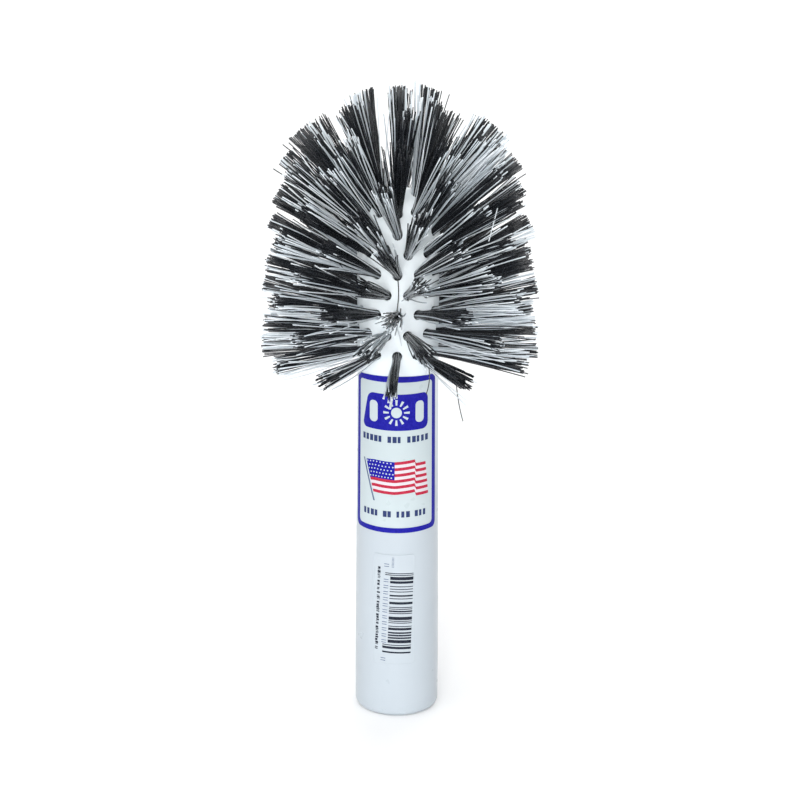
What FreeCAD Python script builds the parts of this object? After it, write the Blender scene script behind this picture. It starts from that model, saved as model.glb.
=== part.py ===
import FreeCAD, Part
import math
import os
import Sketcher

# A round-head hand brush. A one-piece plastic handle ends in a straight head with a domed top.
# Tufts of stiff filament stand in rows of drilled holes, each held at its fold by a wire staple,
# and two film labels are stuck on the handle.
# Millimetres. The origin is the centre of the handle's flat end, +Z runs up the handle,
# and the labels face -Y. Angles are in degrees, and azimuth 0 is -Y.

DIMENSIONS = [
    ("handle_end_diameter", 30.2, "handle's straight end"),
    ("head_diameter", 28.6, "head, and the handle where its taper stops"),
    ("handle_end_round", 2.0, "radius round the handle's end"),
    ("taper_start_height", 20.0, "where the handle's straight end stops and its taper starts"),
    ("taper_top_height", 130.0, "where the handle's taper stops"),
    ("dome_centre_height", 179.2, "centre of the head's half-ball top"),
    ("hole_diameter", 3.5, "drilled hole for a tuft"),
    ("hole_depth", 6.0, "hole, measured along its axis"),
    ("drill_run_out", 6.0, "how far the drill's cut goes on outside the head"),
    ("tufts_per_row", 12, "tufts in each row of the straight head"),
    ("first_row_height", 137.0, "lowest row of holes"),
    ("row_pitch", 7.25, "from one row to the next"),
    ("first_row_tilt", -1.5, "lowest row's lean above level"),
    ("tilt_step", 7.1, "lean gained from one row to the next"),
    ("dome_low_count", 12, "tufts in the dome's lower row"),
    ("dome_low_latitude", 33.0, "lower dome row's place on the half ball"),
    ("dome_low_tilt", 50.0, "lower dome row's lean above level"),
    ("dome_high_count", 6, "tufts in the dome's upper row"),
    ("dome_high_latitude", 61.5, "upper dome row's place on the half ball"),
    ("dome_high_tilt", 67.0, "upper dome row's lean above level"),
    ("crown_latitude", 90.0, "the single tuft at the top"),
    ("tuft_foot_diameter", 2.8, "tuft at its foot, deep in the hole"),
    ("tuft_tip_diameter", 6.6, "tuft at its trimmed end"),
    ("tuft_free_length", 35.1, "tuft outside its hole"),
    ("staple_wire_diameter", 0.7, "staple wire"),
    ("staple_leg_offset", 1.2, "from the hole's axis to each leg"),
    ("staple_bend_height", 0.6, "centre of the staple's bend above the hole's bottom"),
    ("staple_leg_depth", 3.0, "leg driven in below the hole's bottom"),
    ("staple_clearance", 0.05, "room left round the staple's wire"),
    ("label_turn", -3.0, "azimuth of the middle of both labels"),
    ("film_gap", 0.02, "glue under a label"),
    ("film_thickness", 0.12, "label film"),
    ("product_label_bottom", 71.8, "product label's lower edge"),
    ("product_label_top", 129.8, "product label's upper edge"),
    ("product_label_arc", 137.0, "angle that the product label wraps"),
    ("product_label_corner", 1.4, "product label's corner radius"),
    ("barcode_label_bottom", 21.0, "barcode label's lower edge"),
    ("barcode_label_top", 63.4, "barcode label's upper edge"),
    ("barcode_label_arc", 59.0, "angle that the barcode label wraps"),
    ("barcode_label_corner", 1.0, "barcode label's corner radius"),
]

STRAIGHT_ROWS = 7
TOUCH = 0.001  # two heights closer than this are the same


def size(alias):
    """The expression that reads one size from the sheet."""
    return "Sizes." + alias


def make_sheet(doc):
    """The spreadsheet of driving dimensions: name, value and meaning. The name is the value's alias."""
    sheet = doc.addObject("Spreadsheet::Sheet", "Sizes")
    for line, (alias, value, meaning) in enumerate(DIMENSIONS, start=1):
        sheet.set(f"A{line}", alias)
        sheet.set(f"B{line}", str(value))
        sheet.set(f"C{line}", meaning)
        sheet.setAlias(f"B{line}", alias)
    doc.recompute()
    return sheet


def make_body(doc, name):
    """An empty body. Separate solids are allowed in it, because a row of tufts is one."""
    body = doc.addObject("PartDesign::Body", name)
    body.Label = name
    body.AllowCompound = True
    return body


def origin_feature(body, role):
    """One of the body's own origin planes or axes."""
    return next(item for item in body.Origin.OriginFeatures if item.Role == role)


def bind(feature, sizes):
    """Tie each named property of a feature to an expression."""
    for name, expression in sizes.items():
        feature.setExpression(name, expression)


def make_sketch(body, name, plane):
    """An empty sketch on one of the body's origin planes."""
    sketch = body.newObject("Sketcher::SketchObject", name)
    sketch.AttachmentSupport = [(origin_feature(body, plane), "")]
    sketch.MapMode = "FlatFace"
    return sketch


def pin(sketch, kind, edge, point, expression, about):
    """Fix one point of an edge, across or up from the sketch's origin.

    about is the distance until the sheet's is read.
    """
    index = sketch.addConstraint(Sketcher.Constraint(kind, -1, 1, edge, point, about))
    sketch.setExpression(f"Constraints[{index}]", expression)


def revolve(body, sketch, name, angle="360"):
    """Turn a sketch about the upright axis, evenly to both sides of its plane."""
    turned = body.newObject("PartDesign::Revolution", name)
    turned.Profile = sketch
    turned.ReferenceAxis = (sketch, ["V_Axis"])
    turned.Midplane = True
    turned.setExpression("Angle", angle)
    return turned


def round_edges(body, name, radius, wanted):
    """Fillet the edges of the body's last feature that the wanted test picks out."""
    last = body.Tip
    edges = enumerate(last.Shape.Edges, start=1)
    picked = [f"Edge{number}" for number, edge in edges if wanted(edge)]
    rounding = body.newObject("PartDesign::Fillet", name)
    rounding.Base = (last, picked)
    rounding.setExpression("Radius", radius)
    return rounding


def repeat_round(body, name, count):
    """Repeat the body's one solid round the upright axis. It has to be computed first."""
    body.Document.recompute()
    pattern = body.newObject("PartDesign::PolarPattern", name)
    pattern.TransformMode = "Whole shape"
    pattern.Axis = (origin_feature(body, "Z_Axis"), [""])
    pattern.Angle = 360
    pattern.setExpression("Occurrences", count)
    body.Tip = pattern


class Row:
    """One row of tufts: where its holes open on the head, how far they lean, and how they are spread."""

    def __init__(self, name, radius, height, tilt, turn, count):
        self.name = name
        self.radius = radius
        self.height = height
        self.tilt = tilt
        self.turn = turn
        self.count = count

    def place(self, along="0", across="0", extra=""):
        """The placement expression of a point on the first tuft's axis.

        along is the distance out from the hole's mouth, and across the distance up the head from
        the axis. The placed feature's own +Z points out along the tuft, and its +Y up the head.
        """
        out = f"({self.radius} + ({along}) * cos({self.tilt}) - ({across}) * sin({self.tilt}))"
        up = f"{self.height} + ({along}) * sin({self.tilt}) + ({across}) * cos({self.tilt})"
        spot = f"vector({out} * sin({self.turn}); -{out} * cos({self.turn}); {up})"
        return f"placement({spot}; rotation({self.turn}; 0; 90 - ({self.tilt})){extra})"


def straight_row(number):
    """A row of the straight head. Every second row is turned by half a space."""
    steps = number - 1
    half_space = f"180 / {size('tufts_per_row')}"
    return Row(
        name=f"row_{number}",
        radius=f"{size('head_diameter')} / 2",
        height=f"{size('first_row_height')} + {steps} * {size('row_pitch')}",
        tilt=f"{size('first_row_tilt')} + {steps} * {size('tilt_step')}",
        turn=half_space if number % 2 == 0 else "0",
        count=size("tufts_per_row"),
    )


def dome_row(name, latitude, tilt, count):
    """A row on the half ball, at a latitude above the ball's middle."""
    return Row(
        name=name,
        radius=f"{size('head_diameter')} / 2 * cos({latitude})",
        height=f"{size('dome_centre_height')} + {size('head_diameter')} / 2 * sin({latitude})",
        tilt=tilt,
        turn="0",
        count=count,
    )


def make_rows():
    """Every row of tufts, from the lowest to the crown."""
    rows = [straight_row(number) for number in range(1, STRAIGHT_ROWS + 1)]
    for name in ("dome_low", "dome_high"):
        rows.append(dome_row(name, size(f"{name}_latitude"), size(f"{name}_tilt"), size(f"{name}_count")))
    rows.append(dome_row("crown", size("crown_latitude"), size("crown_latitude"), "1"))
    return rows


HOLE_BOTTOM = f"-{size('hole_depth')}"
BEND_CENTRE = f"{HOLE_BOTTOM} + {size('staple_bend_height')}"
LEG_END = f"{HOLE_BOTTOM} - {size('staple_leg_depth')}"
LEG_LENGTH = f"{size('staple_leg_depth')} + {size('staple_bend_height')}"
WIRE_RADIUS = f"{size('staple_wire_diameter')} / 2"
WIRE_ROOM = f"{WIRE_RADIUS} + {size('staple_clearance')}"
TUFT_FOOT = f"{BEND_CENTRE} + {size('staple_leg_offset')} + {WIRE_ROOM}"

# Turns a ring that lies across the tuft into one that stands along it, open towards the hole's bottom.
STAND_RING_UP = " * rotation(vector(1; 1; 1); 120)"


def add_rod(body, name, row, radius, length, along, across="0"):
    """A cylinder along the tuft's axis."""
    rod = body.newObject("PartDesign::AdditiveCylinder", name)
    bind(rod, {"Radius": radius, "Height": length, "Placement": row.place(along, across)})


def add_legs(body, name, row, radius):
    """A staple's two legs, or what is drilled for them, one above the other across the hole."""
    for side, sign in (("upper", "1"), ("lower", "-1")):
        offset = f"{sign} * {size('staple_leg_offset')}"
        add_rod(body, f"{name}_{side}", row, radius, LEG_LENGTH, LEG_END, offset)


def draw_outline(sketch):
    """Half of the handle and head seen from the side: five straight lines and the dome's quarter circle."""
    spots = ((0, 0), (15, 0), (15, 20), (14, 130), (14, 180), (0, 194))
    corners = [FreeCAD.Vector(*spot) for spot in spots]
    ball = Part.Circle(FreeCAD.Vector(0, 180), FreeCAD.Vector(0, 0, 1), 14)
    sketch.addGeometry([
        Part.LineSegment(corners[0], corners[1]),
        Part.LineSegment(corners[1], corners[2]),
        Part.LineSegment(corners[2], corners[3]),
        Part.LineSegment(corners[3], corners[4]),
        Part.ArcOfCircle(ball, 0, math.pi / 2),
        Part.LineSegment(corners[5], corners[0]),
    ], False)


def make_blank(doc):
    """The handle and head, not yet drilled: a turned profile with a rounded edge at the handle's end."""
    body = make_body(doc, "blank")
    sketch = make_sketch(body, "block_profile", "XZ_Plane")
    draw_outline(sketch)
    flat_end, end_side, taper, head_side, dome, axis = range(6)
    for edge in range(6):
        sketch.addConstraint(Sketcher.Constraint("Coincident", edge, 2, (edge + 1) % 6, 1))
    sketch.addConstraint(Sketcher.Constraint("Coincident", flat_end, 1, -1, 1))
    sketch.addConstraint(Sketcher.Constraint("Horizontal", flat_end))
    sketch.addConstraint(Sketcher.Constraint("Vertical", end_side))
    sketch.addConstraint(Sketcher.Constraint("Vertical", head_side))
    sketch.addConstraint(Sketcher.Constraint("Vertical", axis))
    sketch.addConstraint(Sketcher.Constraint("PointOnObject", dome, 3, -2))
    sketch.addConstraint(Sketcher.Constraint("Horizontal", dome, 3, dome, 1))
    pin(sketch, "DistanceX", flat_end, 2, f"{size('handle_end_diameter')} / 2", 15)
    pin(sketch, "DistanceY", end_side, 2, size("taper_start_height"), 20)
    pin(sketch, "DistanceX", taper, 2, f"{size('head_diameter')} / 2", 14)
    pin(sketch, "DistanceY", taper, 2, size("taper_top_height"), 130)
    pin(sketch, "DistanceY", head_side, 2, size("dome_centre_height"), 180)
    revolve(body, sketch, "turned_block")
    doc.recompute()
    round_edges(body, "rounded_end", size("handle_end_round"), lambda edge: edge.BoundBox.ZMax < TOUCH)
    return body


def make_drill(doc, row):
    """What is drilled for one row: each hole, with the narrow room for its staple's legs below."""
    body = make_body(doc, f"drill_{row.name}")
    drill_length = f"{size('hole_depth')} + {size('drill_run_out')}"
    add_rod(body, f"bit_{row.name}", row, f"{size('hole_diameter')} / 2", drill_length, HOLE_BOTTOM)
    add_legs(body, f"leg_bit_{row.name}", row, WIRE_ROOM)
    repeat_round(body, f"drill_ring_{row.name}", row.count)
    return body


def make_block(doc, rows):
    """The handle and head in one piece, drilled for every tuft."""
    drills = doc.addObject("Part::Compound", "drills")
    drills.Links = [make_drill(doc, row) for row in rows]
    block = doc.addObject("Part::Cut", "handle_block")
    block.Base = make_blank(doc)
    block.Tool = drills
    return block


def make_tufts(doc, row):
    """One row of tufts. Each spreads evenly from its foot, on the staple's bend, to its trimmed end."""
    body = make_body(doc, f"tufts_{row.name}")
    tuft = body.newObject("PartDesign::AdditiveCone", f"tuft_{row.name}")
    bind(tuft, {
        "Radius1": f"{size('tuft_foot_diameter')} / 2",
        "Radius2": f"{size('tuft_tip_diameter')} / 2",
        "Height": f"{size('tuft_free_length')} - ({TUFT_FOOT})",
        "Placement": row.place(TUFT_FOOT),
    })
    repeat_round(body, f"tuft_ring_{row.name}", row.count)
    return body


def make_staples(doc, row):
    """One row of staples, each a half-ring bend over a tuft's fold, with two legs driven in below."""
    body = make_body(doc, f"staples_{row.name}")
    bend = body.newObject("PartDesign::AdditiveTorus", f"bend_{row.name}")
    bend.Angle3 = 180
    placement = row.place(BEND_CENTRE, extra=STAND_RING_UP)
    bind(bend, {"Radius1": size("staple_leg_offset"), "Radius2": WIRE_RADIUS, "Placement": placement})
    add_legs(body, f"leg_{row.name}", row, WIRE_RADIUS)
    repeat_round(body, f"staple_ring_{row.name}", row.count)
    return body


def handle_radius(height):
    """The handle's radius at a height on its taper."""
    drop = f"({size('handle_end_diameter')} - {size('head_diameter')}) / 2"
    climb = f"({height} - {size('taper_start_height')})"
    taper_length = f"({size('taper_top_height')} - {size('taper_start_height')})"
    return f"({size('handle_end_diameter')} / 2 - {drop} * {climb} / {taper_length})"


def make_label(doc, name):
    """A film label that follows the handle's taper: a turned strip with its four corners rounded."""
    body = make_body(doc, name)
    sketch = make_sketch(body, f"{name}_strip", "YZ_Plane")
    corners = [FreeCAD.Vector(*spot) for spot in ((-15, 50), (-15.1, 50), (-15.1, 100), (-15, 100))]
    sketch.addGeometry([
        Part.LineSegment(corner, corners[(number + 1) % 4]) for number, corner in enumerate(corners)
    ], False)
    inside, outside = size("film_gap"), f"({size('film_gap')} + {size('film_thickness')})"
    bottom, top = size(f"{name}_bottom"), size(f"{name}_top")
    for side in range(4):
        sketch.addConstraint(Sketcher.Constraint("Coincident", side, 2, (side + 1) % 4, 1))
    edges = ((inside, bottom), (outside, bottom), (outside, top), (inside, top))
    for side, (depth, height) in enumerate(edges):
        pin(sketch, "DistanceX", side, 1, f"-{handle_radius(height)} - {depth}", corners[side].x)
        pin(sketch, "DistanceY", side, 1, height, corners[side].y)
    revolve(body, sketch, f"{name}_film", size(f"{name}_arc"))
    doc.recompute()
    thickness = doc.getObject("Sizes").film_thickness
    corner = size(f"{name}_corner")
    round_edges(body, f"{name}_corners", corner, lambda edge: edge.Length < 2 * thickness)
    body.Placement.Rotation = FreeCAD.Rotation(FreeCAD.Vector(0, 0, 1), 1)
    body.setExpression("Placement.Rotation.Angle", size("label_turn"))
    return body


def check(doc, pieces):
    """Stop if any object failed to compute, or if a sub-part isn't made of sound solids."""
    for item in doc.Objects:
        if "Invalid" in item.State or "Error" in item.State:
            raise SystemExit(f"{item.Label} failed: {item.State}")
    for piece in pieces:
        shape = piece.Shape
        if shape.isNull() or not shape.isValid() or not shape.Solids:
            raise SystemExit(f"{piece.Label} is not a sound solid")


def main():
    doc = FreeCAD.newDocument("brush")
    make_sheet(doc)
    rows = make_rows()
    pieces = [make_block(doc, rows)]
    pieces += [make_label(doc, name) for name in ("product_label", "barcode_label")]
    pieces += [make_tufts(doc, row) for row in rows]
    pieces += [make_staples(doc, row) for row in rows]
    doc.recompute()
    check(doc, pieces)
    os.makedirs("parts", exist_ok=True)
    for piece in pieces:
        piece.Shape.exportStep(f"parts/{piece.Label}.step")
        print(piece.Label, len(piece.Shape.Solids), "solids", round(piece.Shape.Volume, 1), "mm3")


main()
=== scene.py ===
import math

import bmesh
import bpy
import numpy as np
from mathutils import Matrix, Vector


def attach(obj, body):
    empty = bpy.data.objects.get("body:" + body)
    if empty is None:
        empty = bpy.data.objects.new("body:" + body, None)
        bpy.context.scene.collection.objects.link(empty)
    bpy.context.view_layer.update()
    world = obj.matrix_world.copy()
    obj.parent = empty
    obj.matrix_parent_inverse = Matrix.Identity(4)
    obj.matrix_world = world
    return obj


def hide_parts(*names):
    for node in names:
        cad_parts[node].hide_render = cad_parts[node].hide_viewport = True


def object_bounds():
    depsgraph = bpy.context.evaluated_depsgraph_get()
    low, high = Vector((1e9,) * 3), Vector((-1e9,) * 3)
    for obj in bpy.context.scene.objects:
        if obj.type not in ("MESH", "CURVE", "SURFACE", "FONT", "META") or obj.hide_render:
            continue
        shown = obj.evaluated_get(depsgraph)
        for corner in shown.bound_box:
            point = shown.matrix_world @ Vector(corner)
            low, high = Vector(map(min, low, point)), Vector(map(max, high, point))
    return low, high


# The looks of a round-head hand brush. The tufts become real filaments, each folded in half under its
# staple, and the labels get generic printing as thin layers of ink. Lengths are in metres, written as
# millimetres times MM. Azimuth 0 is -Y, the labels' side, and azimuth grows towards +X.

MM = 0.001

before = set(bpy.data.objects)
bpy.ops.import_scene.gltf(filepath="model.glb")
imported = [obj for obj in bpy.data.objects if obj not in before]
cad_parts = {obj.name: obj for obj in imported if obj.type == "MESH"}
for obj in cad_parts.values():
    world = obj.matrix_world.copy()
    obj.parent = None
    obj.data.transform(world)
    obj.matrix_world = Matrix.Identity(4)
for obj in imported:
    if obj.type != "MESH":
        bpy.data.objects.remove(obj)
cad_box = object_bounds()


# ---------------------------------------------------------------- materials


class Material:
    """A procedural material, with short calls for the nodes that it is made of."""

    def __init__(self, name):
        self.made = bpy.data.materials.new(name)
        self.made.use_nodes = True
        self.nodes = self.made.node_tree.nodes
        self.links = self.made.node_tree.links
        self.shader = self.nodes["Principled BSDF"]

    def node(self, kind, **sockets):
        """A node with some of its inputs set. A value that is another node's output becomes a link."""
        made = self.nodes.new(kind)
        for name, value in sockets.items():
            self.feed(made.inputs[name.replace("_", " ")], value)
        return made

    def feed(self, socket, value):
        if isinstance(value, bpy.types.NodeSocket):
            self.links.new(value, socket)
        else:
            socket.default_value = value

    def set(self, **sockets):
        for name, value in sockets.items():
            self.feed(self.shader.inputs[name.replace("_", " ")], value)

    def noise(self, scale, detail=3.0, stretch=None):
        """A noise pattern's value. scale counts its bumps per metre, and stretch squeezes each axis."""
        place = self.node("ShaderNodeTexCoord").outputs["Object"]
        if stretch:
            place = self.node("ShaderNodeMapping", Vector=place, Scale=stretch).outputs["Vector"]
        return self.node("ShaderNodeTexNoise", Vector=place, Scale=scale, Detail=detail).outputs["Fac"]

    def ramp(self, value, low, high, start=0.3, end=0.7):
        """A colour from low to high as value goes from start to end. Most noise is between 0.3 and 0.7."""
        made = self.node("ShaderNodeValToRGB", Fac=value)
        made.color_ramp.elements[0].position = start
        made.color_ramp.elements[0].color = (*low, 1)
        made.color_ramp.elements[1].position = end
        made.color_ramp.elements[1].color = (*high, 1)
        return made.outputs["Color"]

    def span(self, value, low, high, start=0.3, end=0.7):
        """The same for a number."""
        limits = {"From_Min": start, "From_Max": end, "To_Min": low, "To_Max": high}
        return self.node("ShaderNodeMapRange", Value=value, **limits).outputs["Result"]

    def mix(self, share, first, second):
        """Two colours blended. share is how much of the second is used."""
        made = self.nodes.new("ShaderNodeMix")
        made.data_type = "RGBA"
        self.feed(made.inputs["Factor"], share)
        self.feed(made.inputs["A"], first)
        self.feed(made.inputs["B"], second)
        return made.outputs["Result"]

    def bump(self, height, distance, strength=1.0):
        made = self.node("ShaderNodeBump", Height=height, Strength=strength)
        made.inputs["Distance"].default_value = distance
        self.set(Normal=made.outputs["Normal"])

    def attribute(self, name):
        """A number that the mesh carries."""
        made = self.nodes.new("ShaderNodeAttribute")
        made.attribute_name = name
        return made.outputs["Fac"]


GRIP_TOP, HEAD_FOOT = 85 * MM, 160 * MM     # from the first height to the second the plastic is painted lighter, painted light that offsets the shade among the tufts
SCUFF_REACH = (0.5 * MM, 5 * MM)            # scuffs fade out between these heights


def handle_plastic():
    """Smooth white moulded plastic, scuffed at its end. It is greyer in the grip than in the head, which
    is painted lighter to offset the shade among the tufts.
    """
    material = Material("handle_plastic")
    mottling = material.noise(45, 4)
    grip = material.ramp(mottling, (0.418, 0.468, 0.512), (0.432, 0.482, 0.526))
    # painted light: the head's colour is lighter than the grip's, to offset the shade that the tufts cast
    # on it
    head = material.ramp(mottling, (0.86, 0.925, 0.955), (0.88, 0.94, 0.97))
    place = material.node("ShaderNodeTexCoord").outputs["Object"]
    height = material.node("ShaderNodeSeparateXYZ", Vector=place).outputs["Z"]
    painted_light_share = material.span(height, 0.0, 1.0, GRIP_TOP, HEAD_FOOT)
    plastic_with_painted_light = material.mix(painted_light_share, grip, head)
    near_end = material.span(height, 1.0, 0.0, *SCUFF_REACH)
    scuffs = material.span(material.noise(900, 6, (1, 1, 2.5)), 0.0, 0.5, 0.56, 0.72)
    worn = material.node("ShaderNodeMath", Value=near_end)
    worn.operation = "MULTIPLY"
    material.feed(worn.inputs[1], scuffs)
    colour = material.mix(worn.outputs["Value"], plastic_with_painted_light, (0.34, 0.37, 0.385, 1))
    roughness = material.span(material.noise(160, 5), 0.27, 0.4)
    material.set(Base_Color=colour, Roughness=roughness, IOR=1.5, Coat_Weight=0.15, Coat_Roughness=0.12)
    material.bump(material.noise(160, 2), 0.02 * MM, 0.2)
    return material.made


def filament_plastic(name, low, high, rough):
    """Drawn plastic filament. Each filament has its own tone, a little uneven along its length."""
    material = Material(name)
    tone = material.ramp(material.attribute("tone"), low, high, 0.0, 1.0)
    streaks = material.span(material.noise(1500, 2), 0.0, 0.35)
    middle = [0.5 * (a + b) for a, b in zip(low, high)]
    colour = material.mix(streaks, tone, (*middle, 1))
    roughness = material.span(material.noise(2200, 2), rough - 0.07, rough + 0.09)
    material.set(Base_Color=colour, Roughness=roughness, IOR=1.5)
    material.bump(material.noise(2600, 2), 0.02 * MM, 0.3)
    return material.made


def label_film():
    """Printed white film: an even colour with a satin surface."""
    material = Material("label_film")
    colour = material.ramp(material.noise(120, 2), (0.444, 0.512, 0.534), (0.455, 0.523, 0.545))
    roughness = material.span(material.noise(200, 2), 0.27, 0.32)
    material.set(Base_Color=colour, Roughness=roughness, IOR=1.5)
    material.bump(material.noise(300, 2), 0.01 * MM, 0.2)
    return material.made


def clear_film():
    """See-through film on the white handle: the handle's colour under a glossier surface."""
    material = Material("clear_film")
    colour = material.ramp(material.noise(60, 4), (0.42, 0.47, 0.514), (0.435, 0.485, 0.529))
    roughness = material.span(material.noise(200, 2), 0.14, 0.2)
    material.set(Base_Color=colour, Roughness=roughness, IOR=1.5, Coat_Weight=0.4, Coat_Roughness=0.05)
    material.bump(material.noise(200, 2), 0.02 * MM, 0.2)
    return material.made


def ink(name, low, high):
    """A printed ink, a little uneven where the film shows through."""
    material = Material(name)
    colour = material.ramp(material.noise(1100, 5), low, high)
    roughness = material.span(material.noise(800, 3), 0.42, 0.55)
    material.set(Base_Color=colour, Roughness=roughness, IOR=1.5, Specular_IOR_Level=0.1)
    material.bump(material.noise(1600, 3), 0.01 * MM, 0.3)
    return material.made


def staple_steel():
    """Bright drawn wire."""
    material = Material("staple_wire")
    colour = material.ramp(material.noise(1500, 4), (0.5, 0.5, 0.5), (0.68, 0.67, 0.65))
    roughness = material.span(material.noise(3000, 3), 0.2, 0.4)
    material.set(Base_Color=colour, Roughness=roughness, Metallic=1.0)
    return material.made


def studio_floor():
    """A pale matte floor."""
    material = Material("studio_floor")
    colour = material.ramp(material.noise(3, 2), (0.9, 0.9, 0.9), (0.92, 0.92, 0.92))
    material.set(Base_Color=colour, Roughness=0.8)
    return material.made


# ---------------------------------------------------------------- shared mesh work


def make_piece(name, vertices, faces, material, flat=()):
    """A mesh object that rides on the brush. flat lists the faces that aren't shaded smooth."""
    mesh = bpy.data.meshes.new(name)
    mesh.from_pydata(vertices, [], faces)
    smooth = np.ones(len(faces), bool)
    smooth[list(flat)] = False
    mesh.polygons.foreach_set("use_smooth", smooth)
    mesh.materials.append(material)
    mesh.update()
    piece = bpy.data.objects.new(name, mesh)
    bpy.context.scene.collection.objects.link(piece)
    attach(piece, "root")
    return piece


def repaint(node, material):
    """Give a CAD node its material. Its mesh stays as it is."""
    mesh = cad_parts[node].data
    mesh.materials.clear()
    mesh.materials.append(material)


def corners_of(node):
    """The corners of a CAD node's mesh, one row each."""
    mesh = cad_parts[node].data
    corners = np.zeros(3 * len(mesh.vertices))
    mesh.vertices.foreach_get("co", corners)
    return corners.reshape(-1, 3)


# ---------------------------------------------------------------- tufts

SEED = 20
PAIRS = 25                      # filaments in a tuft, each folded in half
FILAMENT_SIDES = 6
DARK_RADIUS = 0.205 * MM
PALE_RADIUS = 0.21 * MM
TUFT_FOOT_DEPTH = 3.8 * MM      # from a hole's mouth down to the CAD tuft's foot
PACKED_RADIUS = 1.42 * MM       # outermost filament's centre, at the hole's mouth
FLARE = 1.08                    # how late a leg leaves its place in the hole for its place at the tip
FOLD_DEPTH = 5.7 * MM           # lowest fold, from the hole's mouth
FOLD_LAYERS = 5
FOLD_STEP = 0.2 * MM
STAPLE_ROOM = 0.6 * MM          # from the staple's middle to the filaments beside it
MIXING = (1.1, 2.4)             # how well a tuft's dark and pale filaments are mixed, at least and at most
OWN_LEAN = 0.45 * MM            # how far a tuft's tip is off its row's lean
SPREADS = (0.8, 1.2)            # a leg's own spread at the tip, of its tuft's
STRAY_SPREADS = (1.3, 2.1)      # the same for a leg that strays further
SHORT_SHARE = 0.12              # of the legs, cut well short
SHORT_CUT = (1.5 * MM, 7.0 * MM)
USUAL_CUT = 0.75 * MM           # how unevenly the others are cut
LEG_STEPS = np.array([0.0, 0.12, 0.3, 0.48, 0.66, 0.84, 1.0])
TRIM_OFF_CENTRE = 0.65 * MM     # the trimmed outline's middle, towards +X from the handle's axis
TRIM_REACH = cad_box[1][0] - 0.15 * MM
TRIM_TOP = cad_box[1][2] - 0.1 * MM
CUT_BEVEL = 0.06 * MM
BEVELLED_WIDTH = 0.8            # of a filament's width, at its cut end

# How dark filaments (True) and pale ones (False) stand: a tuft's radius at its tip, the share that
# strays further, and how unevenly they end and bend.
HABITS = {
    True: {"spread": 3.1 * MM, "strays": 0.1, "jitter": 0.4 * MM, "bow": 0.25 * MM},
    False: {"spread": 4.0 * MM, "strays": 0.25, "jitter": 0.8 * MM, "bow": 0.5 * MM},
}

# How far a tuft's tip leans, in mm: up the head, and round it towards +X at the front. The upper rows
# are drilled a little askew, so all of their tufts lean one way. Some tufts have a lean of their own.
# Tufts are named by their row and their place in it, counted from the front.
ROW_LEANS = {"tufts_row_5": -1.2, "tufts_row_6": -2.0, "tufts_row_7": -2.8}
OWN_LEANS = {
    ("tufts_row_1", 0): (-2.8, -1.5),
    ("tufts_row_1", 2): (0.8, 3.0),
    ("tufts_row_2", 0): (-0.4, -1.6),
    ("tufts_row_2", 11): (-0.4, 2.4),
    ("tufts_row_3", 0): (0.0, -2.6),
    ("tufts_row_4", 0): (0.6, -3.2),
    ("tufts_row_5", 0): (0.4, -4.0),
    ("tufts_row_7", 0): (-2.2, -3.8),
    ("tufts_dome_low", 0): (1.0, 0.8),
    ("tufts_dome_high", 0): (-1.5, 3.6),
    ("tufts_dome_high", 1): (4.2, -5.0),
    ("tufts_dome_high", 2): (5.0, 7.2),
    ("tufts_dome_high", 4): (3.6, -4.4),
    ("tufts_dome_high", 5): (0.0, 2.4),
    ("tufts_crown", 0): (-0.4, -0.5),
}

# The share of dark filaments, and how full a tuft is. Some tufts have their own.
MIDDLE_SHARE, UPPER_SHARE, SHARE_SPREAD = 0.68, 0.74, 0.14
LEAST_SHARE, MOST_SHARE = 0.3, 0.95
UPPER_ROWS = ("tufts_row_7", "tufts_dome_low", "tufts_dome_high")
DARK_SHARES = {
    ("tufts_row_1", 0): 0.6,
    ("tufts_row_3", 0): 0.6,
    ("tufts_dome_low", 0): 1.0,
    ("tufts_dome_high", 0): 0.85,
    ("tufts_crown", 0): 0.85,
}
DOME_FULLNESS = 1.4
FULLNESS = {
    ("tufts_row_1", 0): 0.5,
    ("tufts_dome_low", 0): 1.35,
    ("tufts_crown", 0): 0.62,
}


def tuft_axes(node):
    """The foot and tip centres of each cone in a CAD node of tufts, in order round the head."""
    solid = bmesh.new()
    solid.from_mesh(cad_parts[node].data)
    bmesh.ops.remove_doubles(solid, verts=solid.verts, dist=0.001 * MM)
    waiting = set(solid.verts)
    axes = []
    while waiting:
        island, edge = [], [waiting.pop()]
        while edge:
            corner = edge.pop()
            island.append(corner.co[:])
            for near in (link.other_vert(corner) for link in corner.link_edges):
                if near in waiting:
                    waiting.remove(near)
                    edge.append(near)
        axes.append(cone_axis(np.array(sorted(island))))
    solid.free()
    # The front tuft's azimuth may come out as a hair under 0, and it still comes first.
    return sorted(axes, key=lambda axis: (math.atan2(axis[1][0], -axis[1][1]) + 0.1) % (2 * math.pi))


def cone_axis(corners):
    """The centres of a cone's narrow and wide ends. The long way through its corners is its axis."""
    middle = corners.mean(axis=0)
    long_way = np.linalg.svd(corners - middle, full_matrices=False)[2][0]
    along = (corners - middle) @ long_way
    ends = [corners[along < along.min() + 0.1 * MM], corners[along > along.max() - 0.1 * MM]]
    ends.sort(key=lambda end: np.linalg.norm(end - end.mean(axis=0), axis=1).max())
    return ends[0].mean(axis=0), ends[1].mean(axis=0)


def sunflower(count, turn):
    """Points spread evenly over a disc of radius 1."""
    number = np.arange(count)
    radius = np.sqrt((number + 0.5) / count)
    angle = turn + number * math.pi * (3 - math.sqrt(5))
    return np.stack([radius * np.cos(angle), radius * np.sin(angle)], axis=1)


def pair_seats(seats):
    """Match the seats left of the staple with those right of it, both from the lowest up."""
    order = seats[np.argsort(seats[:, 1])]
    halves = order[: len(order) // 2], order[len(order) // 2:]
    return [half[np.argsort(half[:, 0])] for half in halves]


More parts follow.
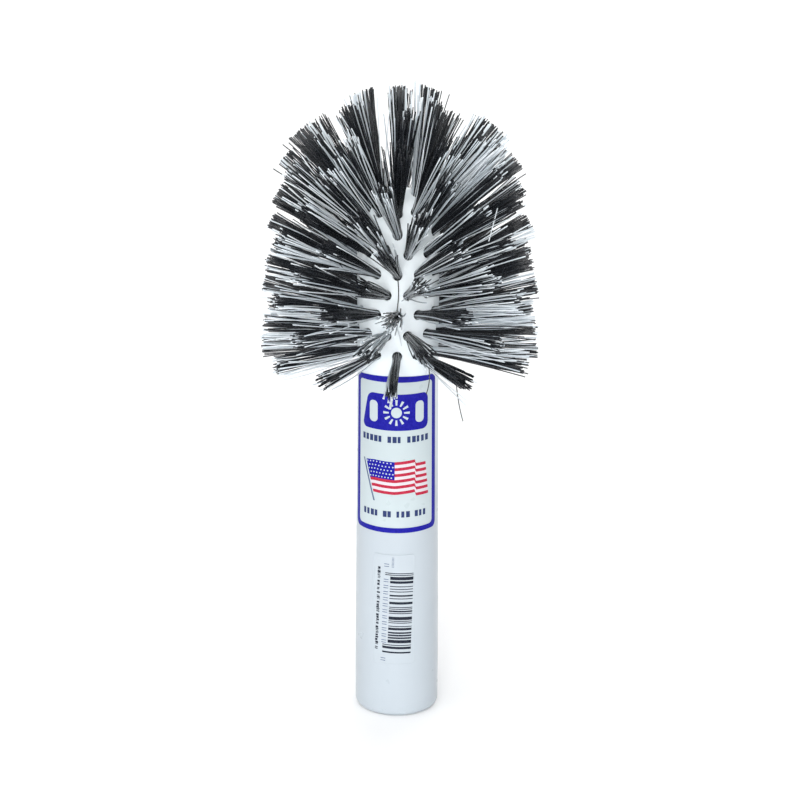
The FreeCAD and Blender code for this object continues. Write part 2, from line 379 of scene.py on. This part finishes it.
class Tuft:
    """One tuft: its axis, and the directions up the head and round it, with its own random draws."""

    def __init__(self, foot, tip, lean, fullness, draw):
        self.draw = draw
        self.fullness = fullness
        self.mixing = draw.uniform(*MIXING)
        self.out = (tip - foot) / np.linalg.norm(tip - foot)
        self.mouth = foot + TUFT_FOOT_DEPTH * self.out
        trim = TRIM_OFF_CENTRE * (np.hypot(self.out[0], self.out[1]) - self.out[0])
        self.length = np.linalg.norm(tip - self.mouth) - trim
        self.round = np.array([-foot[1], foot[0], 0.0])
        if np.linalg.norm(self.round) < MM:
            self.round = np.array([1.0, 0.0, 0.0])
        self.round /= np.linalg.norm(self.round)
        self.up = np.cross(self.out, self.round)
        self.lean = np.array(lean) * MM + draw.normal(0, OWN_LEAN, 2).clip(-2 * OWN_LEAN, 2 * OWN_LEAN)

    def spot(self, along, flat):
        """The point at a distance from the hole's mouth. flat is its place up the head and round it."""
        return self.mouth + along * self.out + flat[0] * self.up + flat[1] * self.round

    def leg(self, seat, habit):
        """Half a filament, from the hole's mouth to its cut end, inside the trimmed outline."""
        draw = self.draw
        spread = habit["spread"] * self.fullness * draw.uniform(*SPREADS)
        if draw.random() < habit["strays"]:
            spread *= draw.uniform(*STRAY_SPREADS)
        cut = cut_back(draw)
        start = seat * PACKED_RADIUS
        end = seat * spread + self.lean + draw.normal(0, habit["jitter"], 2)
        bow = draw.normal(0, habit["bow"], 2)
        reach = self.length - cut
        tip = self.spot(reach, end)
        # A leg that would stand out of the trimmed outline is cut back a little further than that.
        reach -= 1.1 * max(np.hypot(tip[0], tip[1]) - TRIM_REACH, tip[2] - TRIM_TOP, 0)
        points = []
        for step in LEG_STEPS:
            flat = start + (end - start) * step ** FLARE + bow * 4 * step * (1 - step)
            points.append(self.spot(step * reach, flat))
        return points

    def fold(self, left, right, layer):
        """The five points of a filament's fold, under the staple's bend, from one leg to the other."""
        across = 0.5 * (left[0] + right[0]) * PACKED_RADIUS
        beside = max(STAPLE_ROOM, 0.9 * abs(left[1]) * PACKED_RADIUS)
        other = max(STAPLE_ROOM, 0.9 * abs(right[1]) * PACKED_RADIUS)
        bottom = -FOLD_DEPTH + layer * FOLD_STEP
        return [
            self.spot(-0.62 * FOLD_DEPTH, (0.9 * across, -beside)),
            self.spot(0.8 * bottom, (0.5 * across, -STAPLE_ROOM)),
            self.spot(bottom, (0.4 * across, 0.0)),
            self.spot(0.8 * bottom, (0.5 * across, STAPLE_ROOM)),
            self.spot(-0.62 * FOLD_DEPTH, (0.9 * across, other)),
        ]


def cut_back(draw):
    """How far short of the full length a leg is cut."""
    if draw.random() < SHORT_SHARE:
        return draw.uniform(*SHORT_CUT)
    return abs(draw.normal(0, USUAL_CUT)) + 0.03 * MM


def tuft_filaments(tuft, dark_share):
    """The centre lines of one tuft's filaments, as two lists: dark and pale."""
    draw = tuft.draw
    left, right = pair_seats(sunflower(2 * PAIRS, draw.uniform(0, 2 * math.pi)))
    side = draw.choice([-1.0, 1.0])
    rank = side * (left[:, 0] + right[:, 0]) + draw.normal(0, tuft.mixing, PAIRS)
    is_dark = np.argsort(np.argsort(rank)) < round(dark_share * PAIRS)
    lines = {True: [], False: []}
    for number in range(PAIRS):
        dark = bool(is_dark[number])
        legs = [tuft.leg(seat, HABITS[dark]) for seat in (left[number], right[number])]
        fold = tuft.fold(left[number], right[number], number % FOLD_LAYERS)
        lines[dark].append(legs[0][::-1] + fold + legs[1])
    return lines[True], lines[False]


def tubes(lines, sideways, radius):
    """Tubes round centre lines that have as many points each: their corners, faces and end caps."""
    path = np.array(lines)
    count, rings = path.shape[:2]
    ends = np.stack([path[:, 0] - path[:, 1], path[:, -1] - path[:, -2]], axis=1)
    ends *= CUT_BEVEL / np.linalg.norm(ends, axis=2, keepdims=True)
    path = np.concatenate([path[:, :1], path[:, :1] - ends[:, :1], path[:, 1:-1],
                           path[:, -1:] - ends[:, 1:], path[:, -1:]], axis=1)
    rings += 2
    heading = np.gradient(path, axis=1)
    heading /= np.linalg.norm(heading, axis=2, keepdims=True)
    slip = np.einsum("nj,nkj->nk", sideways, heading)[..., None]
    first = np.array(sideways)[:, None, :] - heading * slip
    first /= np.linalg.norm(first, axis=2, keepdims=True)
    second = np.cross(heading, first)
    width = np.full(rings, radius)
    width[[0, -1]] *= BEVELLED_WIDTH
    angle = np.arange(FILAMENT_SIDES) * 2 * math.pi / FILAMENT_SIDES
    wheel = first[:, :, None] * np.cos(angle)[:, None] + second[:, :, None] * np.sin(angle)[:, None]
    corners = (path[:, :, None] + wheel * width[:, None, None]).reshape(-1, 3)
    faces, caps = [], []
    for tube in range(count):
        start = tube * rings * FILAMENT_SIDES
        for ring in range(rings - 1):
            low = start + ring * FILAMENT_SIDES
            high = low + FILAMENT_SIDES
            for side in range(FILAMENT_SIDES):
                after = (side + 1) % FILAMENT_SIDES
                faces.append((low + side, low + after, high + after, high + side))
        last = start + (rings - 1) * FILAMENT_SIDES
        caps += [len(faces), len(faces) + 1]
        faces.append(tuple(range(start + FILAMENT_SIDES - 1, start - 1, -1)))
        faces.append(tuple(range(last, last + FILAMENT_SIDES)))
    return corners, faces, caps


def set_tones(piece, tones, corners_each):
    """Give each filament one random tone, which its material reads."""
    attribute = piece.data.attributes.new("tone", "FLOAT", "POINT")
    attribute.data.foreach_set("value", np.repeat(tones, corners_each).astype(np.float32))


def make_tufts(node, number, finishes):
    """Replace one CAD row of tufts by its filaments: a dark piece and a pale one."""
    draw = np.random.default_rng([SEED, number])
    lines, sideways = {"dark": [], "pale": []}, {"dark": [], "pale": []}
    for place, (foot, tip) in enumerate(tuft_axes(node)):
        up, sideways_lean = OWN_LEANS.get((node, place), (0.0, ROW_LEANS.get(node, 0.0)))
        fullness = FULLNESS.get((node, place), DOME_FULLNESS if "dome" in node else 1.0)
        tuft = Tuft(foot, tip, (up, sideways_lean), fullness, draw)
        usual = UPPER_SHARE if node in UPPER_ROWS else MIDDLE_SHARE
        share = float(np.clip(draw.normal(usual, SHARE_SPREAD), LEAST_SHARE, MOST_SHARE))
        share = DARK_SHARES.get((node, place), share)
        for shade, found in zip(("dark", "pale"), tuft_filaments(tuft, share)):
            lines[shade] += found
            sideways[shade] += [tuft.up] * len(found)
    for shade, (material, radius) in finishes.items():
        if not lines[shade]:
            continue
        corners, faces, caps = tubes(lines[shade], sideways[shade], radius)
        name = node.replace("tufts", "filaments") + "_" + shade
        piece = make_piece(name, corners, faces, material, caps)
        set_tones(piece, draw.random(len(lines[shade])), len(corners) // len(lines[shade]))
        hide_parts(node)


# Filaments that have come loose, each from one end to the other, as (azimuth in degrees, mm out from
# the handle's axis, mm up). Pale ones lie across the tufts, dark ones hang from them.
STRAY_BOW = 0.5 * MM
STRAY_WIDTH = 0.8               # of a filament that still stands
STRAYS = {
    "pale": [
        ((-31.0, 34.5, 159.2), (-27.5, 34.5, 152.0)),
        ((-0.5, 15.4, 147.4), (5.0, 17.0, 141.6)),
        ((62.0, 38.0, 190.5), (50.0, 40.0, 181.0)),
        ((148.0, 36.0, 170.0), (156.0, 36.5, 161.0)),
    ],
    "dark": [
        ((0.2, 14.6, 165.0), (-0.6, 14.9, 153.4)),
        ((30.0, 40.5, 135.0), (33.5, 41.2, 120.5)),
        ((24.0, 27.0, 136.5), (21.0, 28.5, 127.5)),
        ((-42.0, 37.0, 182.0), (-30.0, 36.0, 173.0)),
        ((-160.0, 38.0, 182.0), (-152.0, 39.0, 173.0)),
    ],
}


def stray_line(ends, draw):
    """A loose filament's centre line: straight between its ends, with a slight bow."""
    start, end = (
        np.array([math.sin(math.radians(turn)) * out, -math.cos(math.radians(turn)) * out, up]) * MM
        for turn, out, up in ends
    )
    bow = draw.normal(0, STRAY_BOW, 3)
    return [start + (end - start) * step + bow * 4 * step * (1 - step) for step in LEG_STEPS]


def make_strays(finishes):
    """The loose filaments, as a dark piece and a pale one."""
    draw = np.random.default_rng([SEED, 300])
    for shade, (material, radius) in finishes.items():
        lines = [stray_line(ends, draw) for ends in STRAYS[shade]]
        sideways = [np.array([1.0, 0.0, 0.0])] * len(lines)
        corners, faces, caps = tubes(lines, sideways, STRAY_WIDTH * radius)
        name = f"stray_filaments_{shade}"
        piece = make_piece(name, corners, faces, material, caps)
        set_tones(piece, draw.random(len(lines)), len(corners) // len(lines))


# ---------------------------------------------------------------- labels

INK_THICKNESS = 0.025 * MM
INK_LIFT = -0.005 * MM          # from the film's face up to an ink layer's underside
UPPER_INK_LIFT = 0.015 * MM     # the same for ink printed over other ink
FILM_THICKNESS = 0.12 * MM
ACROSS_STEP = 0.5 * MM          # longest flat run round the handle


class Face:
    """The outer face of a CAD label, which is part of a cone. Prints are placed across it and by height.

    arch is how far the corners of its upper edge droop, and arch_depth how far down that is felt.
    """

    def __init__(self, node, arch=0.0, arch_depth=MM):
        self.arch = arch
        self.arch_depth = arch_depth
        corners = corners_of(node)
        radii = np.hypot(corners[:, 0], corners[:, 1])
        heights = corners[:, 2]
        azimuths = np.arctan2(corners[:, 0], -corners[:, 1])
        self.bottom, self.top = heights.min(), heights.max()
        self.low_radius = radii[heights < self.bottom + 0.01 * MM].max()
        self.high_radius = radii[heights > self.top - 0.01 * MM].max()
        self.middle = 0.5 * (azimuths.min() + azimuths.max())
        self.radius = 0.5 * (self.low_radius + self.high_radius)
        self.half_width = 0.5 * (azimuths.max() - azimuths.min()) * self.radius

    def point(self, across, height, lift):
        """A point on the face, or raised over it by lift."""
        near_top = min(max((height - self.top) / self.arch_depth + 1, 0), 1)
        height -= self.arch * near_top * (across / self.half_width) ** 2
        share = (height - self.bottom) / (self.top - self.bottom)
        radius = self.low_radius + share * (self.high_radius - self.low_radius) + lift
        azimuth = self.middle + across / self.radius
        return radius * math.sin(azimuth), -radius * math.cos(azimuth), height


class Print:
    """One piece of film or ink: thin slabs that follow a label's face."""

    def __init__(self, face, lift, thickness=INK_THICKNESS, turn=0.0):
        self.face = face
        self.slant = math.tan(turn)
        self.middle = 0.5 * (face.bottom + face.top)
        self.levels = (lift, lift + thickness)
        self.corners = []
        self.faces = []

    def slab(self, grid, closed=False):
        """A slab from rows of (across, height) points. A closed one joins each row's two ends."""
        rows, columns = len(grid), len(grid[0])
        start = len(self.corners)
        for lift in self.levels:
            for across, height in (spot for row in grid for spot in row):
                place = across + self.slant * (height - self.middle), height - self.slant * across
                self.corners.append(self.face.point(*place, lift))
        under = [[start + row * columns + column for column in range(columns)] for row in range(rows)]
        over = [[spot + rows * columns for spot in row] for row in under]
        steps = columns if closed else columns - 1
        for row in range(rows - 1):
            for column in range(steps):
                after = (column + 1) % columns
                for level, turn in ((over, 1), (under, -1)):
                    near, far = level[row], level[row + 1]
                    self.faces.append((near[column], near[after], far[after], far[column])[::turn])
        for row, turn in ((0, 1), (rows - 1, -1)):
            for column in range(steps):
                after = (column + 1) % columns
                wall = (under[row][column], under[row][after], over[row][after], over[row][column])
                self.faces.append(wall[::turn])
        if closed:
            return
        for column, turn in ((0, -1), (columns - 1, 1)):
            for row in range(rows - 1):
                after = row + 1
                wall = (under[row][column], under[after][column], over[after][column], over[row][column])
                self.faces.append(wall[::turn])

    def bar(self, left, right, low, high):
        """An upright rectangle."""
        count = max(2, math.ceil((right - left) / ACROSS_STEP) + 1)
        places = np.linspace(left, right, count)
        self.slab([[(across, height) for across in places] for height in (low, high)])

    def block(self, left, right, low, high, corner, slope=0.0):
        """A rectangle with round corners. slope draws its upper edge in on the left."""
        turn = np.linspace(0, math.pi / 2, 7)
        ends = [(corner * (1 - math.cos(angle)), corner * (1 - math.sin(angle))) for angle in turn]
        sides = [(height, 0.0) for height in np.linspace(low + corner, high - corner, 12)[1:-1]]
        levels = [(low + up, inset) for up, inset in ends] + sides
        levels += [(high - up, inset) for up, inset in ends[::-1]]
        count = math.ceil((right - left) / ACROSS_STEP) + 1
        rows = []
        for height, inset in levels:
            shift = slope * (height - low) / (high - low)
            rows.append([(x, height) for x in np.linspace(left + inset + shift, right - inset, count)])
        self.slab(rows)

    def disc(self, across, height, radius, count=9):
        """A round spot, from a square grid drawn into a circle."""
        ticks = np.linspace(-1, 1, count)
        rows = []
        for v in ticks:
            spots = [(u * math.sqrt(1 - v * v / 2), v * math.sqrt(1 - u * u / 2)) for u in ticks]
            rows.append([(across + radius * x, height + radius * y) for x, y in spots])
        self.slab(rows)

    def frame(self, half_width, low, high, corner, sides, foot, head):
        """A closed border with round corners: sides, foot and head are its widths."""
        outer = rounded_outline(-half_width, half_width, low, high, corner)
        inner_corner = corner - min(sides, foot, head) * 0.4
        inner_half = half_width - sides
        inner = rounded_outline(-inner_half, inner_half, low + foot, high - head, inner_corner)
        shares = np.linspace(0, 1, 5)
        rings = [[blend(a, b, 1 - share) for a, b in zip(outer, inner)] for share in shares]
        self.slab(rings, closed=True)

    def finish(self, name, material, slot):
        return make_piece(name, self.corners, self.faces, material, range(len(self.faces)))


def blend(first, second, share):
    """A point between two points. share is how much of the first is used."""
    return tuple(share * a + (1 - share) * b for a, b in zip(first, second))


def rounded_outline(left, right, low, high, corner):
    """Points round a rectangle with round corners, anticlockwise. Any rectangle has as many of them."""
    centres = ((right - corner, low + corner), (right - corner, high - corner),
               (left + corner, high - corner), (left + corner, low + corner))
    points = []
    for number, (x, y) in enumerate(centres):
        start = (number - 1) * math.pi / 2
        arc = [(x + corner * math.cos(start + turn), y + corner * math.sin(start + turn))
               for turn in np.linspace(0, math.pi / 2, 8)]
        next_x, next_y = centres[(number + 1) % 4]
        leave = start + math.pi / 2
        goal = (next_x + corner * math.cos(leave), next_y + corner * math.sin(leave))
        run = [blend(arc[-1], goal, 1 - share) for share in np.linspace(0, 1, 60)[1:-1]]
        points += arc + run
    return points


def block_line(layer, left, right, low, high, groups, draw):
    """A line of plain little blocks in groups. groups gives how many blocks each has."""
    gap = 0.9
    pitch = (right - left) / (sum(groups) + gap * (len(groups) - 1))
    across = left
    for blocks in groups:
        for _ in range(blocks):
            width = pitch * draw.uniform(0.55, 0.85)
            layer.bar(across, across + width, low, high)
            across += pitch
        across += gap * pitch


def product_label(film, inks):
    """The film with its blue frame, a plain emblem, two lines of blocks, and a striped pennant."""
    draw = np.random.default_rng([SEED, 100])
    face = Face("product_label", 1.1 * MM, 5 * MM)
    width = face.half_width
    corner = 2.2 * MM
    base = Print(face, -FILM_THICKNESS, FILM_THICKNESS)
    base.block(-width, width, face.bottom, face.top, corner)
    piece = base.finish("label_base_film", film, "label_film")
    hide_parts("product_label")

    blue = Print(face, INK_LIFT)
    blue.frame(width, face.bottom, face.top, corner, sides=2.3 * MM, foot=1.9 * MM, head=2.2 * MM)
    blue.block(-13.4 * MM, 12.9 * MM, 110.0 * MM, 123.3 * MM, 2.4 * MM, slope=3.0 * MM)
    navy = Print(face, INK_LIFT)
    block_line(navy, -13.1 * MM, 13.4 * MM, 105.5 * MM, 107.8 * MM, (5, 3, 5), draw)
    block_line(navy, -12.4 * MM, 12.4 * MM, 77.7 * MM, 80.0 * MM, (4, 2, 3, 3), draw)
    pale = Print(face, UPPER_INK_LIFT)
    add_emblem(pale, 0.6 * MM, 116.6 * MM)
    add_pennant(blue, pale, inks, face)
    blue.finish("label_blue_print", inks["blue"], "blue_ink")
    navy.finish("label_navy_print", inks["navy"], "blue_ink")
    pale.finish("label_pale_print", film, "label_film")


def add_emblem(layer, across, height):
    """A plain pictogram of a brush head: a disc with short strokes all round it, and two side bars."""
    layer.disc(across, height, 1.9 * MM)
    rays = 12
    for ray in range(rays):
        angle = 2 * math.pi * ray / rays
        aim = np.array([math.cos(angle), math.sin(angle)])
        side = np.array([-math.sin(angle), math.cos(angle)])
        rows = []
        for reach, half in ((2.7 * MM, 0.28 * MM), (3.7 * MM, 0.36 * MM), (4.7 * MM, 0.44 * MM)):
            middle = np.array([across, height]) + reach * aim
            rows.append([tuple(middle - shift * half * side) for shift in (-1, 0, 1)])
        layer.slab(rows)
    bar_reach, bar_half_width, bar_half_height = 8.6 * MM, 1.7 * MM, 3.9 * MM
    for side in (-1, 1):
        middle = across + side * bar_reach
        layer.block(middle - bar_half_width, middle + bar_half_width,
                    height - bar_half_height, height + bar_half_height, 1.5 * MM)


def add_pennant(blue_layer, pale_layer, inks, face):
    """A waving pennant on a leaning pole: plain stripes, and a blue field with dots."""
    left, right, field_right = -11.3 * MM, 11.8 * MM, 0.05 * MM
    pole_lean, end_lean = 3.4 * MM, 1.4 * MM
    top, height = 98.4 * MM, 12.2 * MM
    stripes, field_stripes = 11, 6
    stripe = height / stripes
    folds = np.array([-11.3, -7.5, 0.0, 7.4, 7.6, 13.5]) * MM    # where the cloth's waves turn,
    rises = np.array([-0.2, 0.35, 0.0, 0.7, -0.7, -0.8]) * MM    # and how high it is there

    def spot(across, level):
        """A point of the pennant. level counts stripes down from its top edge."""
        return across, top - level * stripe + float(np.interp(across, folds, rises))

    def begin(level):
        return left + pole_lean * level / stripes

    def finish(level):
        return right + end_lean * level / stripes

    def patch(layer, upper, lower, start, end):
        """The part of the pennant between two levels. start and end give its edges at a level."""
        layer.slab([
            [spot(across, level) for across in np.linspace(start(level), end(level), 48)]
            for level in np.linspace(lower, upper, 4)
        ])

    def field_edge(level):
        """The field's right edge, which is upright."""
        return field_right

    red, white, pole = (Print(face, INK_LIFT) for _ in range(3))
    for level in range(stripes):
        start = field_edge if level < field_stripes else begin
        patch(white if level % 2 else red, level, level + 1, start, finish)
    patch(blue_layer, 0, field_stripes, begin, field_edge)
    rows, columns, dot_radius = 5, 8, 0.26 * MM
    for row in range(rows):
        level = (row + 0.5) * field_stripes / rows
        for column in range(columns):
            share = (column + 0.4 + 0.5 * (row % 2)) / (columns + 0.4)
            across = begin(level) + share * (field_right - begin(level))
            pale_layer.disc(*spot(across, level), dot_radius, 5)
    foot, head, pole_half = (-7.6 * MM, 83.3 * MM), (-12.4 * MM, 98.5 * MM), 0.34 * MM
    line = [blend(head, foot, share) for share in np.linspace(0, 1, 20)]
    pole.slab([[(across - pole_half, level), (across + pole_half, level)] for across, level in line])
    red.finish("label_red_print", inks["red"], "red_ink")
    white.finish("label_white_print", inks["white"], "label_film")
    pole.finish("label_grey_print", inks["grey"], "black_ink")


def barcode_label(inks):
    """Plain bars of random widths, with plain blocks and strokes beside them. They encode nothing."""
    draw = np.random.default_rng([SEED, 200])
    face = Face("barcode_label")
    turn = math.radians(2.0)
    bars, strokes = (Print(face, -0.02 * MM, 0.05 * MM, turn) for _ in range(2))

    module = 0.335 * MM
    left, long_left, right = -1.8 * MM, -3.7 * MM, 6.7 * MM
    bottom, top, guard = 25.4 * MM, 57.3 * MM, 3.1 * MM
    level = bottom
    while level < top - module:
        width = module * draw.choice([1, 2, 3, 4], p=[0.44, 0.27, 0.16, 0.13])
        outer = level < bottom + guard or level > top - guard
        bars.bar(long_left if outer else left, right, level, min(level + 0.9 * width, top))
        level += width + module * draw.choice([1, 2, 3], p=[0.6, 0.25, 0.15])

    level, column_top = 26.2 * MM, 58.0 * MM
    while level < column_top:
        height = draw.choice([0.2, 0.35, 0.6, 0.8]) * MM
        start = (-6.6 + draw.uniform(-0.1, 0.1)) * MM
        bars.bar(start, start + draw.uniform(0.9, 1.2) * MM, level, level + height)
        level += height + draw.choice([0.15, 0.25, 0.3, 0.8]) * MM

    stroke_left, stroke_right, stroke_half, stroke_apart = -4.2 * MM, -2.4 * MM, 0.12 * MM, 0.45 * MM
    for mark in (22.7 * MM, *np.linspace(29.8 * MM, 53.4 * MM, 11), 59.3 * MM):
        for middle in (mark - stroke_apart, mark + stroke_apart):
            strokes.bar(stroke_left, stroke_right, middle - stroke_half, middle + stroke_half)
    short_left, short_right, short_height = -1.5 * MM, -0.6 * MM, 0.16 * MM
    for mark in np.linspace(58.7 * MM, 62.2 * MM, 8):
        strokes.bar(short_left, short_right, mark, mark + short_height)
    bars.finish("barcode_black_print", inks["black"], "black_ink")
    strokes.finish("barcode_grey_print", inks["grey"], "black_ink")


# ---------------------------------------------------------------- stage

LIT_POINT = Vector((0, 0, 120 * MM))
FLOOR_REACH = 15.0


def make_camera():
    """Almost straight in front of the brush, looking 18 degrees down."""
    azimuth, pitch, roll = math.radians(1.0), math.radians(18.07), math.radians(0.25)
    distance, aside, height = 725.7 * MM, 0.8 * MM, 353.4 * MM
    data = bpy.data.cameras.new("camera")
    data.lens = 96.9
    data.sensor_width = 36.0
    data.clip_start, data.clip_end = 0.01, 100.0
    camera = bpy.data.objects.new("camera", data)
    place = Matrix.Rotation(azimuth, 4, "Z") @ Matrix.Translation((aside, -distance, height))
    aim = Matrix.Rotation(math.pi / 2 - pitch, 4, "X") @ Matrix.Rotation(roll, 4, "Z")
    camera.matrix_world = place @ aim
    bpy.context.scene.collection.objects.link(camera)
    bpy.context.scene.camera = camera


def add_sun(name, place, strength, spread):
    """A soft light from the direction of place. spread is its width in degrees."""
    data = bpy.data.lights.new(name, "SUN")
    data.energy = strength
    data.angle = math.radians(spread)
    light = bpy.data.objects.new(name, data)
    light.location = place
    light.rotation_mode = "QUATERNION"
    light.rotation_quaternion = (LIT_POINT - Vector(place)).to_track_quat("-Z", "Y")
    bpy.context.scene.collection.objects.link(light)


def make_backdrop():
    """A plain white wall all round, seen only where it shows behind the brush. It gives no light."""
    sides, radius, height = 48, 6.0, 5.0
    turns = np.arange(sides) * 2 * math.pi / sides
    ring = [(radius * math.cos(turn), radius * math.sin(turn)) for turn in turns]
    corners = [(x, y, 0.0) for x, y in ring] + [(x, y, height) for x, y in ring]
    walls = []
    for side in range(sides):
        after = (side + 1) % sides
        walls.append((side, after, sides + after, sides + side))
    material = Material("backdrop")
    material.set(Base_Color=(0, 0, 0, 1), Emission_Color=(1, 1, 1, 1), Emission_Strength=1.0)
    mesh = bpy.data.meshes.new("backdrop")
    mesh.from_pydata(corners, [], walls)
    mesh.materials.append(material.made)
    backdrop = bpy.data.objects.new("backdrop", mesh)
    backdrop.visible_diffuse = False
    backdrop.visible_glossy = False
    backdrop.visible_transmission = False
    backdrop.visible_shadow = False
    bpy.context.scene.collection.objects.link(backdrop)


def make_stage():
    """A plain pale floor with a white backdrop, and soft light from above, the front and the back."""
    reach = FLOOR_REACH
    corners = [(-reach, -reach, 0), (reach, -reach, 0), (reach, reach, 0), (-reach, reach, 0)]
    mesh = bpy.data.meshes.new("floor")
    mesh.from_pydata(corners, [], [(0, 1, 2, 3)])
    mesh.materials.append(studio_floor())
    floor = bpy.data.objects.new("floor", mesh)
    bpy.context.scene.collection.objects.link(floor)
    make_backdrop()
    world = bpy.data.worlds.new("studio")
    world.use_nodes = True
    background = world.node_tree.nodes["Background"]
    background.inputs["Color"].default_value = (0.97, 0.985, 1.0, 1)
    background.inputs["Strength"].default_value = 0.45
    bpy.context.scene.world = world
    add_sun("top_box", (-0.25, -0.35, 1.7), 1.7, 70)
    add_sun("front_box", (-0.12, -1.5, 0.5), 2.4, 25)
    add_sun("back_box", (0.3, 1.5, 0.7), 1.5, 60)
    bpy.context.scene.view_settings.view_transform = "Standard"


def make_brush():
    """Every piece of the brush, and the materials of the CAD nodes that stay."""
    repaint("handle_block", handle_plastic())
    repaint("barcode_label", clear_film())
    steel = staple_steel()
    dark = filament_plastic("dark_filament", (0.004, 0.005, 0.007), (0.018, 0.021, 0.026), 0.22)
    pale = filament_plastic("pale_filament", (0.47, 0.53, 0.58), (0.80, 0.845, 0.875), 0.3)
    finishes = {"dark": (dark, DARK_RADIUS), "pale": (pale, PALE_RADIUS)}
    rows = sorted(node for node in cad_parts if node.startswith("tufts"))
    for number, node in enumerate(rows):
        make_tufts(node, number, finishes)
    make_strays(finishes)
    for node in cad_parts:
        if node.startswith("staples"):
            repaint(node, steel)
    inks = {
        "blue": ink("blue_ink", (0.006, 0.006, 0.23), (0.014, 0.012, 0.30)),
        "red": ink("red_ink", (0.36, 0.015, 0.04), (0.44, 0.03, 0.065)),
        "white": ink("white_ink", (0.58, 0.54, 0.58), (0.62, 0.57, 0.61)),
        "navy": ink("navy_ink", (0.02, 0.035, 0.11), (0.035, 0.05, 0.14)),
        "grey": ink("grey_ink", (0.08, 0.11, 0.19), (0.13, 0.16, 0.25)),
        "black": ink("black_ink", (0.008, 0.011, 0.02), (0.022, 0.027, 0.04)),
    }
    product_label(label_film(), inks)
    barcode_label(inks)


make_brush()
make_stage()
make_camera()
bpy.context.view_layer.update()
